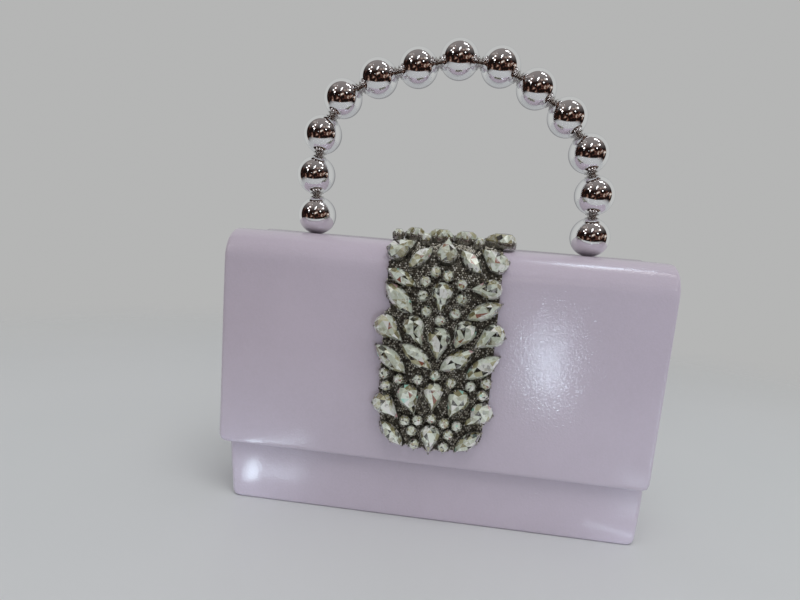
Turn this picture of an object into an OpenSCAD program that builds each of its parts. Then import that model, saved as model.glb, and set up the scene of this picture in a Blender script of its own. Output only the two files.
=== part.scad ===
// Evening bag: a stiff box body with a front flap, a rhinestone applique and a beaded arch handle.
// Millimetres. Origin at the middle of the base, +X to the right, +Y to the back, +Z up.
// The flap turns about hinge_y, hinge_z, a fold that runs along X.

/* [Body] */
// Width of the body
body_w = 208; // [180:1:240]
// Body front face, measured forward from the handle's plane
body_front = 21.2; // [18:0.1:30]
// Body back face, measured back from the handle's plane
body_back = 24.5; // [22:0.1:34]
// Height of the body walls
wall_h = 129; // [110:1:150]
// Radius of the body's bottom corners, seen from the front
corner_r = 6; // [4:0.5:12]
// Thickness of the outer leather
leather_t = 1.2; // [0.8:0.1:2]
// Thickness of the body's stiffener boards
board_t = 1.6; // [1:0.1:2.5]
// Thickness of the lining
lining_t = 0.8; // [0.5:0.1:1.2]

/* [Flap] */
// Width of the flap
flap_w = 216; // [188:1:250]
// Height of the flap's top face
top_z = 140; // [120:1:160]
// Height of the flap's bottom edge
flap_bottom = 31; // [20:1:60]
// Flap front face, measured forward from the handle's plane
flap_front = 27; // [24:0.1:36]
// Radius of the roll between the flap's top and front
roll_r = 15; // [10:0.5:20]
// Thickness of the flap's board
flap_board_t = 1.8; // [1.2:0.1:2.4]
// Width of the leather turned over the flap's edges
rim_w = 1.6; // [1:0.1:3]

/* [Handle] */
// Diameter of a bead
bead_d = 19.8; // [16:0.1:22]
// Distance between bead centres along the wire
bead_pitch = 20.8; // [20.6:0.1:24]
// Thickness of a bead's wall
bead_wall = 0.8; // [0.5:0.1:1.5]
// Diameter of the handle wire
wire_d = 3; // [2:0.1:4]
// Diameter of a spacer's flange
spacer_d = 6.8; // [5:0.1:9]

/* [Snap] */
// Height of the snap's centre
snap_z = 48; // [40:1:70]
// Diameter of the snap's discs
snap_d = 15; // [10:0.5:20]

/* [Applique] */
// Thickness of the mesh base under the stones
mesh_t = 1; // [0.6:0.1:1.5]
// Height of a claw setting
setting_h = 3.4; // [2:0.1:4.5]
// How far a large stone stands out of its setting
crown_h = 3.2; // [1.5:0.1:4]
// Diameter of a round setting
round_d = 5.8; // [4:0.1:7]

/* [Hidden] */
$fn = 48;
BEADS = 13;
function two_digits(n) = n < 10 ? str("0", n) : str(n);
function bead_name(i) = str("bead_", two_digits(i + 1));
function spacer_name(i) = str("spacer_", two_digits(i + 1));

// Colours
LILAC = [0.66, 0.62, 0.69];
BOARD = [0.55, 0.52, 0.48];
SATIN = [0.34, 0.31, 0.36];
SILVER = [0.80, 0.80, 0.82];
GUNMETAL = [0.22, 0.22, 0.23];
CRYSTAL = [0.82, 0.87, 0.85];

// Body levels: y runs from the front face to the back face
front_y = -body_front;
back_y = body_back;
front_board_y = front_y + leather_t;
front_lining_y = front_board_y + board_t;
back_board_y = back_y - leather_t - board_t;
back_lining_y = back_board_y - lining_t;
half_w = body_w / 2;
lining_half = half_w - leather_t;
base_lining_z = leather_t + board_t;
binding_h = 1.2;

// Slip pocket
pocket_half = 60;
pocket_z0 = 40;
pocket_z1 = 105;
pocket_gap = 5;

// Hinge fold along the back top edge
fold_r = 3.5;
hinge_y = back_y - fold_r;
hinge_z = top_z - fold_r;
cord_r = 2.2;
strip_top_y = hinge_y + 1.9;
strip_tail_z = 122;

// Flap layers: leather outside, then board, then lining
flap_t = leather_t + flap_board_t + lining_t;
flap_half = flap_w / 2;
roll_y = -flap_front + roll_r;
roll_z = top_z - roll_r;
board_gap = 2.7;

// Snap
snap_disc_t = 0.8;
snap_post_d = 3.6;
snap_post_h = 0.9;
snap_hole_d = 5.2;
washer_t = 0.6;

// Handle: heading of the wire from each bead to the next, in degrees above +X
bead_r = bead_d / 2;
headings = [95, 84, 63, 32, 17, 14, -7, -27, -37, -53, -75, -89];
function run_x(n) = n == 0 ? 0 : run_x(n - 1) + bead_pitch * cos(headings[n - 1]);
function run_z(n) = n == 0 ? 0 : run_z(n - 1) + bead_pitch * sin(headings[n - 1]);
bead_lift = 0.05;
seat_r = bead_r + 0.02;
function bead_pos(n) = [run_x(n) - run_x(BEADS - 1) / 2, 0, top_z + bead_r + bead_lift + run_z(n)];
wire_clear = 0.05;
bore_d = wire_d + 0.3;
nut_flats = 5.5;
nut_h = 2.6;
handle_washer_d = 9;
handle_washer_t = 0.8;
flap_under_z = top_z - flap_t;
wire_end_z = flap_under_z - handle_washer_t - nut_h - 0.6;

// Stones. Each is [x, s, heading]: x across the flap, s up the flap's face and on round the roll,
// heading of the stone's tip or long axis in degrees above +X. Paired stones are given for x > 0.
round_pairs = [
    [9, 48.9], [7.2, 42.3], [12.8, 53.6], [6.5, 54.4],
    [24.6, 76.2], [23.4, 70.2], [17.4, 74], [8, 74.8],
    [9.2, 115.6], [6.8, 108.3], [8.6, 122.4]
];
round_single = [
    [0, 56.2], [0, 77.6], [0, 104.5], [-4.2, 126.9], [1.9, 125.7], [-25, 146.5], [-10.7, 142.3],
    [15.2, 142.4]
];
navette_pairs = [
    [18.7, 46.5, 44, 16.5], [22.2, 83.8, 39, 20], [9.6, 86, 35.5, 19.5], [12, 131.8, -46, 15.5]
];
navette_single = [
    [-20.3, 113.4, -46, 20], [20.3, 110.7, 28, 18.6], [-19.9, 123.4, -26, 16],
    [-16.4, 147, -12, 11], [-3.8, 147, 4, 13], [8.8, 146.8, -6, 12]
];
teardrop_pairs = [
    [22.2, 59.8, -140, 16.2], [11.3, 64.4, -114, 16.2], [23.7, 98, -141, 17], [11.2, 98.2, -119, 16.2]
];
teardrop_single = [
    [0.2, 45.6, -90, 15], [0, 66.9, -90, 15], [0.2, 93, -90, 17], [-0.2, 115.3, -90, 15.5],
    [20.3, 121.2, 184, 15], [-21.4, 135.2, 35, 15.5], [0.4, 136.1, 90, 15], [22.4, 133.5, 142, 16],
    [25.6, 146.6, 176, 16]
];
function mirrored(list) = [for (p = list) each [p, [-p[0], p[1], 180 - p[2], p[3]]]];
round_mirrored = [for (p = round_pairs) each [p, [-p[0], p[1]]]];
rounds = concat(round_mirrored, round_single);
navettes = concat(mirrored(navette_pairs), navette_single);
teardrops = concat(mirrored(teardrop_pairs), teardrop_single);
navette_ratio = 0.46;
teardrop_ratio = 0.68;
setting_wall = 0.7;
crown_inset = 1.3;
round_crown_h = 1.8;
stone_seat = 0.6;
mesh_half = 24;
mesh_low = 40;
mesh_over = 2;

// Points along an arc, from angle a0 to a1 in degrees
function arc(cx, cy, r, a0, a1, steps) =
    [for (i = [0 : steps]) let (a = a0 + (a1 - a0) * i / steps) [cx + r * cos(a), cy + r * sin(a)]];

// Outline of a body wall, seen from the front, drawn in by inset
function wall_outline(inset) =
    let (w = half_w - inset, r = corner_r - inset)
    concat([[w, wall_h]], [[-w, wall_h]],
           arc(-w + r, inset + r, r, 180, 270, 6), arc(w - r, inset + r, r, 270, 360, 6));

// Outline of the flap's section, as [y, z], between depths a and b under its outer face.
// It starts at the hinge end, y1, and stops at height z0 on the front.
function flap_section(a, b, y1, z0) =
    concat([[y1, top_z - a]], arc(roll_y, roll_z, roll_r - a, 90, 180, 16), [[-flap_front + a, z0]],
           [[-flap_front + b, z0]], arc(roll_y, roll_z, roll_r - b, 180, 90, 16), [[y1, top_z - b]]);

// Boat-shaped outline of a stone of length l, drawn in by inset: two arcs that meet at the tips
function navette_outline(l, inset) =
    let (w = l * navette_ratio, r0 = (l * l + w * w) / 4 / w, r = r0 - inset, drop = w / 2 - r0,
         half = acos(-drop / r))
    concat(arc(0, drop, r, 90 + half, 90 - half, 8), arc(0, -drop, r, half - 90, -90 - half, 8));

// Teardrop outline of a stone of length l, drawn in by inset: a round end and a tip on +X
function teardrop_outline(l, inset) =
    let (r0 = l * teardrop_ratio / 2, cx = r0 - l / 2, r = r0 - inset, side = acos(r0 / (l / 2 - cx)))
    concat([[cx + r / cos(side), 0]], arc(cx, 0, r, side, 360 - side, 14));

// Extrudes a [y, z] section along X between two x values
module along_x(points, x0, x1) {
    translate([x0, 0, 0])
        rotate([90, 0, 90])
            linear_extrude(x1 - x0)
                polygon(points);
}

// Extrudes an [x, z] outline along Y between two y values
module along_y(points, y0, y1) {
    translate([0, y1, 0])
        rotate([90, 0, 0])
            linear_extrude(y1 - y0)
                polygon(points);
}

// Places a shape on the flap's face: its +Z points out of the leather, its +Y runs up the face
module on_flap(x, s) {
    turn = max(0, (s - roll_z) / roll_r) * 180 / PI;
    translate([x, roll_y, min(s, roll_z)])
        rotate([-turn, 0, 0])
            translate([0, -roll_r, 0])
                rotate([90, 0, 0])
                    children();
}

module front_leather() {
    color(LILAC) along_y(wall_outline(0), front_y, front_board_y);
}

module back_leather() {
    color(LILAC) along_y(wall_outline(0), back_y - leather_t, back_y);
}

// The base, its rounded corners included, between the front and back leathers
module base_leather() {
    color(LILAC)
        along_y(concat(arc(-half_w + corner_r, corner_r, corner_r, 180, 270, 6),
                       arc(half_w - corner_r, corner_r, corner_r, 270, 360, 6),
                       arc(half_w - corner_r, corner_r, corner_r - leather_t, 360, 270, 6),
                       arc(-half_w + corner_r, corner_r, corner_r - leather_t, 270, 180, 6)),
                front_board_y, back_y - leather_t);
}

module gusset(x0) {
    color(LILAC)
        translate([x0, front_board_y, corner_r])
            cube([leather_t, back_y - leather_t - front_board_y, wall_h - corner_r]);
}

module gusset_left() {
    gusset(-half_w);
}

module gusset_right() {
    gusset(half_w - leather_t);
}

module front_board() {
    color(BOARD)
        difference() {
            along_y(wall_outline(leather_t), front_board_y, front_lining_y);
            translate([0, front_board_y + washer_t, snap_z])
                rotate([90, 0, 0])
                    cylinder(h = washer_t * 2, d = snap_d);
        }
}

// The back board stops short of the top, where the hinge strip's tail sits
module back_board() {
    color(BOARD)
        difference() {
            along_y(wall_outline(leather_t), back_board_y, back_y - leather_t);
            translate([-half_w, back_board_y - 1, strip_tail_z])
                cube([body_w, board_t + 2, wall_h]);
        }
}

module base_board() {
    color(BOARD)
        translate([-half_w + corner_r, front_lining_y, leather_t])
            cube([body_w - 2 * corner_r, back_board_y - front_lining_y, board_t]);
}

// Body wall's outline drawn in by inset, as a block between two y values that starts at height z0
module tray_block(inset, y0, y1, z0) {
    intersection() {
        along_y(wall_outline(inset), y0, y1);
        translate([-half_w, y0 - 1, z0])
            cube([body_w, y1 - y0 + 2, wall_h + 2]);
    }
}

// Open-topped fabric tray, with its lower corners rounded like the body's
module lining() {
    color(SATIN)
        difference() {
            tray_block(leather_t, front_lining_y, back_board_y, base_lining_z);
            translate([0, 0, lining_t])
                tray_block(leather_t + lining_t, front_lining_y + lining_t, back_lining_y, base_lining_z);
        }
}

// Slip pocket on the back lining, open at the top
module slip_pocket() {
    color(SATIN)
        difference() {
            translate([-pocket_half, back_lining_y - pocket_gap - lining_t, pocket_z0])
                cube([2 * pocket_half, pocket_gap + lining_t, pocket_z1 - pocket_z0]);
            translate([-pocket_half + lining_t, back_lining_y - pocket_gap, pocket_z0 + lining_t])
                cube([2 * (pocket_half - lining_t), pocket_gap + 1, pocket_z1]);
        }
}

// Leather binding over the raw top edges of the front and the gussets
module mouth_binding() {
    inner_y = front_lining_y + lining_t;
    color(LILAC)
        difference() {
            translate([-half_w, front_y, wall_h])
                cube([body_w, back_lining_y - front_y, binding_h]);
            translate([-lining_half + lining_t, inner_y, wall_h - 1])
                cube([2 * (lining_half - lining_t), body_back + body_front, binding_h + 2]);
        }
}

// Corded leather strip that the flap turns on; its tail is sewn in above the back board
module hinge_strip() {
    tail_y = back_y - leather_t;
    color(LILAC)
        along_x([[back_board_y, strip_tail_z], [tail_y, strip_tail_z], [tail_y, wall_h],
                 [strip_top_y, wall_h + 2], [strip_top_y, hinge_z], [back_board_y - 1, hinge_z],
                 [back_board_y, hinge_z - cord_r]],
                -lining_half, lining_half);
    color(LILAC)
        translate([-lining_half, hinge_y, hinge_z])
            rotate([0, 90, 0])
                cylinder(h = 2 * lining_half, r = cord_r);
}

// Disc that faces the flap, with a hole that the stud's post enters
module snap_socket() {
    color(SILVER)
        translate([0, front_y, snap_z])
            rotate([90, 0, 0])
                difference() {
                    cylinder(h = snap_disc_t, d = snap_d);
                    translate([0, 0, -1])
                        cylinder(h = snap_disc_t + 2, d = snap_hole_d);
                }
}

module snap_socket_washer() {
    color(SILVER)
        translate([0, front_board_y + washer_t, snap_z])
            rotate([90, 0, 0])
                cylinder(h = washer_t, d = snap_d);
}

// Outer leather of the flap, turned over the side and bottom edges of the board
module flap_leather() {
    color(LILAC)
        difference() {
            along_x(flap_section(0, flap_t, hinge_y, flap_bottom), -flap_half, flap_half);
            along_x(flap_section(leather_t, flap_t + 1, hinge_y + 1, flap_bottom + rim_w),
                    -flap_half + rim_w, flap_half - rim_w);
            hinge_relief();
            wire_holes();
        }
}

// Room that the flap leaves round the hinge strip
module hinge_relief() {
    translate([-flap_half - 1, hinge_y, hinge_z])
        rotate([0, 90, 0])
            cylinder(h = flap_w + 2, r = cord_r + 0.1);
}

module wire_holes() {
    for (n = [0, BEADS - 1])
        translate([bead_pos(n)[0], 0, top_z - 10])
            cylinder(h = 20, d = wire_d + 2 * wire_clear);
}

module flap_board() {
    color(BOARD)
        difference() {
            along_x(flap_section(leather_t, leather_t + flap_board_t, hinge_y - board_gap,
                                 flap_bottom + rim_w),
                    -flap_half + rim_w, flap_half - rim_w);
            wire_holes();
            translate([0, -flap_front + leather_t + flap_board_t + 1, snap_z])
                rotate([90, 0, 0])
                    cylinder(h = 1 + washer_t, d = snap_d);
        }
}

module flap_lining() {
    color(SATIN)
        difference() {
            along_x(flap_section(leather_t + flap_board_t, flap_t, hinge_y - board_gap,
                                 flap_bottom + rim_w),
                    -flap_half + rim_w, flap_half - rim_w);
            wire_holes();
        }
}

// Disc on the flap's inner face with a short post
module snap_stud() {
    face_y = -flap_front + flap_t;
    color(SILVER)
        translate([0, face_y, snap_z])
            rotate([-90, 0, 0]) {
                cylinder(h = snap_disc_t, d = snap_d);
                cylinder(h = snap_disc_t + snap_post_h, d = snap_post_d);
            }
}

module snap_stud_washer() {
    color(SILVER)
        translate([0, -flap_front + leather_t + flap_board_t - washer_t, snap_z])
            rotate([-90, 0, 0])
                cylinder(h = washer_t, d = snap_d);
}

// Mesh base under the stones: it follows the flap's face and laps over the roll
module applique_mesh() {
    color(GUNMETAL)
        along_x(flap_section(-mesh_t, 0, roll_y + mesh_over, mesh_low), -mesh_half, mesh_half);
}

// Straight-sided cup with a floor, from an outline and its inner outline
module cup(outer, inner) {
    difference() {
        linear_extrude(setting_h)
            polygon(outer);
        translate([0, 0, stone_seat])
            linear_extrude(setting_h)
                polygon(inner);
    }
}

module round_settings() {
    color(GUNMETAL)
        for (p = rounds)
            on_flap(p[0], p[1])
                translate([0, 0, mesh_t])
                    difference() {
                        cylinder(h = setting_h, d = round_d);
                        translate([0, 0, stone_seat])
                            cylinder(h = setting_h, d = round_d - 2 * setting_wall);
                    }
}

module round_stones() {
    color(CRYSTAL)
        for (p = rounds)
            on_flap(p[0], p[1])
                translate([0, 0, mesh_t + stone_seat]) {
                    cylinder(h = setting_h - stone_seat, d = round_d - 2 * setting_wall);
                    cylinder(h = setting_h - stone_seat + round_crown_h,
                             d = round_d - 2 * setting_wall - crown_inset);
                }
}

module navette_settings() {
    color(GUNMETAL)
        for (p = navettes)
            on_flap(p[0], p[1])
                translate([0, 0, mesh_t])
                    rotate([0, 0, p[2]])
                        cup(navette_outline(p[3], 0), navette_outline(p[3], setting_wall));
}

module navette_stones() {
    color(CRYSTAL)
        for (p = navettes)
            on_flap(p[0], p[1])
                translate([0, 0, mesh_t + stone_seat])
                    rotate([0, 0, p[2]]) {
                        linear_extrude(setting_h - stone_seat)
                            polygon(navette_outline(p[3], setting_wall));
                        linear_extrude(setting_h - stone_seat + crown_h)
                            polygon(navette_outline(p[3], crown_inset));
                    }
}

module teardrop_settings() {
    color(GUNMETAL)
        for (p = teardrops)
            on_flap(p[0], p[1])
                translate([0, 0, mesh_t])
                    rotate([0, 0, p[2]])
                        cup(teardrop_outline(p[3], 0), teardrop_outline(p[3], setting_wall));
}

module teardrop_stones() {
    color(CRYSTAL)
        for (p = teardrops)
            on_flap(p[0], p[1])
                translate([0, 0, mesh_t + stone_seat])
                    rotate([0, 0, p[2]]) {
                        linear_extrude(setting_h - stone_seat)
                            polygon(teardrop_outline(p[3], setting_wall));
                        linear_extrude(setting_h - stone_seat + crown_h)
                            polygon(teardrop_outline(p[3], crown_inset));
                    }
}

// A rod of diameter d from bead centre n towards a heading, with the given length
module rod(n, heading, d, length) {
    translate(bead_pos(n))
        rotate([0, 90 - heading, 0])
            cylinder(h = length, d = d);
}

// Steel wire: straight runs between the beads, a knuckle at each bend and a leg at each end
module handle_wire() {
    color(SILVER) {
        for (i = [0 : BEADS - 2])
            rod(i, headings[i], wire_d, bead_pitch);
        for (n = [0 : BEADS - 1])
            translate(bead_pos(n))
                sphere(d = wire_d + 0.2);
        for (n = [0, BEADS - 1])
            rod(n, -90, wire_d, bead_pos(n)[2] - wire_end_z);
    }
}

// Hollow bead, with a hole where the wire goes in and another where it comes out
module bead(n) {
    heading_in = n == 0 ? 90 : headings[n - 1];
    heading_out = n == BEADS - 1 ? -90 : headings[n];
    color(SILVER)
        difference() {
            translate(bead_pos(n))
                sphere(r = bead_r);
            translate(bead_pos(n))
                sphere(r = bead_r - bead_wall);
            rod(n, heading_in + 180, bore_d, bead_d);
            rod(n, heading_out, bore_d, bead_d);
        }
}

// Distance from a spacer's middle to the bead's surface, at radius r from the wire's axis
function bead_gap(r) = bead_pitch / 2 - sqrt(seat_r * seat_r - r * r);

// Waisted spool whose flanges cup the beads on either side
module spacer(i) {
    lip = 0.35;
    waist_r = wire_d / 2 + 0.5;
    flange_r = spacer_d / 2;
    steps = 4;
    radii = [for (k = [0 : steps]) bore_d / 2 + (flange_r - bore_d / 2) * k / steps];
    lower = [for (r = radii) [r, -bead_gap(r)]];
    upper = [for (k = [steps : -1 : 0]) [radii[k], bead_gap(radii[k])]];
    side = [[flange_r, lip - bead_gap(flange_r)], [waist_r, -0.15],
            [waist_r, 0.15], [flange_r, bead_gap(flange_r) - lip]];
    color(SILVER)
        translate((bead_pos(i) + bead_pos(i + 1)) / 2)
            rotate([0, 90 - headings[i], 0])
                rotate_extrude()
                    polygon(concat(lower, side, upper));
}

module handle_washers() {
    color(SILVER)
        for (n = [0, BEADS - 1])
            translate([bead_pos(n)[0], 0, flap_under_z - handle_washer_t])
                difference() {
                    cylinder(h = handle_washer_t, d = handle_washer_d);
                    translate([0, 0, -1])
                        cylinder(h = handle_washer_t + 2, d = wire_d + 2 * wire_clear);
                }
}

module handle_nuts() {
    color(SILVER)
        for (n = [0, BEADS - 1])
            translate([bead_pos(n)[0], 0, flap_under_z - handle_washer_t - nut_h])
                difference() {
                    cylinder(h = nut_h, d = nut_flats / cos(30), $fn = 6);
                    translate([0, 0, -1])
                        cylinder(h = nut_h + 2, d = wire_d + 2 * wire_clear);
                }
}

front_leather();
back_leather();
base_leather();
gusset_left();
gusset_right();
front_board();
back_board();
base_board();
lining();
slip_pocket();
mouth_binding();
hinge_strip();
snap_socket();
snap_socket_washer();
flap_leather();
flap_board();
flap_lining();
snap_stud();
snap_stud_washer();
applique_mesh();
round_settings();
navette_settings();
teardrop_settings();
round_stones();
navette_stones();
teardrop_stones();
handle_wire();
handle_washers();
handle_nuts();
for (i = [0 : BEADS - 1])
    bead(i);
for (i = [0 : BEADS - 2])
    spacer(i);
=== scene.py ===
import math

import bpy
import numpy as np
from mathutils import Matrix, Vector


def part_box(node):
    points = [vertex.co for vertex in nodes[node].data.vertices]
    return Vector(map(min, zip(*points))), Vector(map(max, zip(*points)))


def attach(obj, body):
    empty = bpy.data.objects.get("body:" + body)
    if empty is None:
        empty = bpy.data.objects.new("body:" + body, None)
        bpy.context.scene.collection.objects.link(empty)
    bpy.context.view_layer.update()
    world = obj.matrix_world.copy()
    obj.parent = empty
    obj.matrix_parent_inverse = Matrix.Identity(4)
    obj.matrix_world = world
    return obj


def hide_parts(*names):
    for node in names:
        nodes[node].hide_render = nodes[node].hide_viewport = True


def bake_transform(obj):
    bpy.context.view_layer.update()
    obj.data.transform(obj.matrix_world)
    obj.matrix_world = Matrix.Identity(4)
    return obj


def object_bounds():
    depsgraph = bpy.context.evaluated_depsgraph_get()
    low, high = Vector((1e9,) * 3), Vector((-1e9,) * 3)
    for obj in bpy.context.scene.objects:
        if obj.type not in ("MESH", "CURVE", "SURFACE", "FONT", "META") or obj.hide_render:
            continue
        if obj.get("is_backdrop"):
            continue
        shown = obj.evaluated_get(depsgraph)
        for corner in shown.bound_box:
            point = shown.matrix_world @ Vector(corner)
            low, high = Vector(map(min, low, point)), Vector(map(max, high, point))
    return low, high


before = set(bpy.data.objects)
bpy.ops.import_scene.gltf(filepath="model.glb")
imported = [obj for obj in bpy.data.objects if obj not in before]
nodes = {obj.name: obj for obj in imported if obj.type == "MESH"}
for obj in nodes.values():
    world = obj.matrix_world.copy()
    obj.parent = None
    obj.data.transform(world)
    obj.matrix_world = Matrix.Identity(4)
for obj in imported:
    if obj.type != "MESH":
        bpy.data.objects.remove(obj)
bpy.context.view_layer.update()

MM = 0.001
rng = np.random.default_rng(11)


def box_mm(name):
    low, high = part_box(name)
    return np.array(low) * 1000, np.array(high) * 1000


def circle(n):
    return np.linspace(0, 2 * math.pi, n, endpoint=False)


def quarter(n):
    return np.linspace(0, math.pi / 2, n)


def line(start, end, n):
    """n points evenly spaced from start to end, both (across, up)."""
    return list(zip(*(np.linspace(a, b, n) for a, b in zip(start, end))))


# ---- sizes from the frame, in mm
flap_low, flap_high = box_mm("flap_leather")
FLAP_HALF = flap_high[0]
FLAP_BOTTOM = flap_low[2]
FLAP_FRONT = flap_low[1]
TOP_Z = flap_high[2]
HINGE_DROP = 3.5  # from the flap's top down to the hinge's axis
HINGE = np.array([flap_high[1], TOP_Z - HINGE_DROP])
ROLL_R = 15.0  # the roll over the front top edge
ROLL_Y, ROLL_Z = FLAP_FRONT + ROLL_R, TOP_Z - ROLL_R
ROLL_END = ROLL_Z + ROLL_R * math.pi / 2
front_low, front_high = box_mm("front_leather")
BODY_HALF = front_high[0]
BODY_FRONT, BODY_BACK = front_low[1], box_mm("back_leather")[1][1]
WALL_H = front_high[2]
BEAD_COUNT = 13
bead_at = [np.mean(box_mm("bead_%02d" % (i + 1)), axis=0) for i in range(BEAD_COUNT)]
bead_low, bead_high = box_mm("bead_01")
BEAD_R = (bead_high[0] - bead_low[0]) / 2


# ---- camera, light and floor
scene = bpy.context.scene
scene.view_settings.view_transform = "Standard"
scene.view_settings.look = "None"


def look_matrix(yaw, pitch, roll, place):
    """Camera pose from heading, downward tilt and roll, in degrees, at a place in mm."""
    y, p, r = (math.radians(a) for a in (yaw, pitch, roll))
    ahead = Vector((-math.sin(y) * math.cos(p), math.cos(y) * math.cos(p), -math.sin(p)))
    side = Vector((math.cos(y), math.sin(y), 0))
    down = ahead.cross(side)
    right = math.cos(r) * side + math.sin(r) * down
    below = -math.sin(r) * side + math.cos(r) * down
    m = Matrix((right, -below, -ahead)).transposed().to_4x4()
    m.translation = Vector(place) * MM
    return m


camera_data = bpy.data.cameras.new("camera")
camera = bpy.data.objects.new("camera", camera_data)
scene.collection.objects.link(camera)
camera_data.sensor_width = 36
camera_data.sensor_fit = "HORIZONTAL"
camera_data.lens = 24.3
camera_data.shift_x = -0.0073
camera_data.shift_y = 0.0201
camera_data.clip_start = 0.01
camera_data.clip_end = 20
CAMERA_YAW, CAMERA_PITCH, CAMERA_ROLL = 5.16, 8.01, -4.85
CAMERA_PLACE = (6.5, -285.1, 141.0)
camera.matrix_world = look_matrix(CAMERA_YAW, CAMERA_PITCH, CAMERA_ROLL, CAMERA_PLACE)
scene.camera = camera


def area_light(name, place, target, size, power, colour=(1, 1, 1), size_y=None):
    data = bpy.data.lights.new(name, "AREA")
    data.energy = power
    data.color = colour
    data.size = size
    if size_y:
        data.shape = "RECTANGLE"
        data.size_y = size_y
    lamp = bpy.data.objects.new(name, data)
    scene.collection.objects.link(lamp)
    lamp.location = place
    lamp.rotation_mode = "QUATERNION"
    lamp.rotation_quaternion = (Vector(target) - Vector(place)).to_track_quat("-Z", "Y")
    lamp.visible_camera = False
    lamp.visible_glossy = False
    return lamp


BAG_MIDDLE = (0, 0, 0.08)
area_light("key", (0.15, -0.45, 1.2), BAG_MIDDLE, 0.7, 4.3)
area_light("fill", (0.8, -0.3, 0.5), BAG_MIDDLE, 0.6, 0.35, (0.93, 0.97, 1.0))

# Small lamps that only show as glints on the patent leather
leather_only = bpy.data.collections.new("leather_only")
GLINT_COLOUR = (0.72, 0.87, 1.0)


def glint(name, place, target, size, power, size_y):
    lamp = area_light(name, place, target, size, power, GLINT_COLOUR, size_y)
    lamp.data.diffuse_factor = 0.0
    lamp.visible_glossy = True
    lamp.light_linking.receiver_collection = leather_only
    return lamp


def table_strip(name, start, end, width, power):
    """A strip lamp lying on the table from start to end, facing up."""
    lamp = glint(name, (0, 0, 0), (0, 0, 1), width, power, (Vector(end) - Vector(start)).length)
    along = (Vector(end) - Vector(start)).normalized()
    down = Vector((0, 0, -1))
    pose = Matrix((along.cross(down), along, down)).transposed().to_4x4()
    pose.translation = (Vector(start) + Vector(end)) / 2
    lamp.matrix_world = pose


glint("glint_flap", (0.099, -0.276, 0.040), (0.052, -0.027, 0.088), 0.013, 0.072, 0.065)
glint("glint_left", (-0.104, -0.060, 0.003), (-0.09, -0.021, 0.018), 0.006, 0.006, 0.020)
glint("glint_rim_left", (-0.095, -0.090, 0.002), (-0.062, -0.027, 0.031), 0.03, 0.004, 0.006)
glint("glint_rim_right", (0.14, -0.085, 0.002), (0.09, -0.027, 0.031), 0.05, 0.004, 0.006)
glint("glint_foot", (0.10, -0.040, 0.001), (0.088, -0.022, 0.004), 0.03, 0.0007, 0.003)
glint("glint_top", (0.28, -0.03, 1.0), (0.07, -0.02, 0.137), 0.16, 0.8, 0.16)
table_strip("glint_side", (0.17, -0.095, 0.002), (0.43, -0.36, 0.002), 0.012, 0.14)


class Graph:
    """Short way to build a node tree."""

    def __init__(self, tree):
        self.tree = tree
        tree.nodes.clear()

    def node(self, kind, inputs=None, **settings):
        n = self.tree.nodes.new(kind)
        for key, value in settings.items():
            setattr(n, key, value)
        for key, value in (inputs or {}).items():
            if isinstance(value, bpy.types.NodeSocket):
                self.tree.links.new(value, n.inputs[key])
            else:
                n.inputs[key].default_value = value
        return n

    def math(self, op, a, b=0.0):
        return self.node("ShaderNodeMath", {0: a, 1: b}, operation=op).outputs[0]

    def ramp(self, factor, stops, interpolation="LINEAR"):
        n = self.node("ShaderNodeValToRGB", {0: factor})
        n.color_ramp.interpolation = interpolation
        e = n.color_ramp.elements
        while len(e) < len(stops):
            e.new(0.5)
        for item, (position, colour) in zip(e, stops):
            item.position = position
            item.color = (*colour, 1) if len(colour) == 3 else colour
        return n.outputs[0]

    def grey(self, factor, stops, interpolation="LINEAR"):
        return self.ramp(factor, [(position, (level,) * 3) for position, level in stops], interpolation)

    def mix(self, factor, a, b, blend="MIX"):
        n = self.node("ShaderNodeMix", data_type="RGBA", blend_type=blend)
        for socket, value in ((n.inputs[0], factor), (n.inputs[6], a), (n.inputs[7], b)):
            if isinstance(value, bpy.types.NodeSocket):
                self.tree.links.new(value, socket)
            else:
                socket.default_value = value if not isinstance(value, tuple) or len(value) == 4 else (*value, 1)
        return n.outputs[2]

    def coords(self):
        return self.node("ShaderNodeTexCoord").outputs["Object"]

    def noise(self, scale, detail=3.0, roughness=0.5, vector=None):
        inputs = {"Scale": scale, "Detail": detail, "Roughness": roughness, "Vector": vector or self.coords()}
        return self.node("ShaderNodeTexNoise", inputs).outputs["Fac"]

    def bump(self, height, strength, distance):
        inputs = {"Height": height, "Strength": strength, "Distance": distance}
        return self.node("ShaderNodeBump", inputs).outputs[0]


# The room that the chrome and stones mirror: a pale wall behind the bag, a dim ceiling with lamps in front
world = bpy.data.worlds.new("studio")
scene.world = world
world.use_nodes = True
g = Graph(world.node_tree)
direction = g.node("ShaderNodeTexCoord").outputs["Generated"]
xyz = g.node("ShaderNodeSeparateXYZ", {0: direction}).outputs
LAMP_LEVEL = 5
CEILING = (0.26, 0.235, 0.23, 1)
SEEN_BACKDROP, PALE_LIGHT = (0.462, 0.465, 0.462, 1), (0.43, 0.435, 0.44, 1)
spots = g.node("ShaderNodeTexVoronoi", {"Scale": 3.4, "Vector": direction})
lamps = g.grey(spots.outputs["Distance"], [(0.0, LAMP_LEVEL), (0.17, LAMP_LEVEL), (0.26, 0), (1.0, 0)])
lamps_high = g.grey(xyz[2], [(0.0, 0), (0.06, 0), (0.12, 1), (1.0, 1)])
lamps = g.mix(1.0, lamps, lamps_high, "MULTIPLY")
clutter = g.noise(3.2, 1.5, 0.4, direction)
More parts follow.
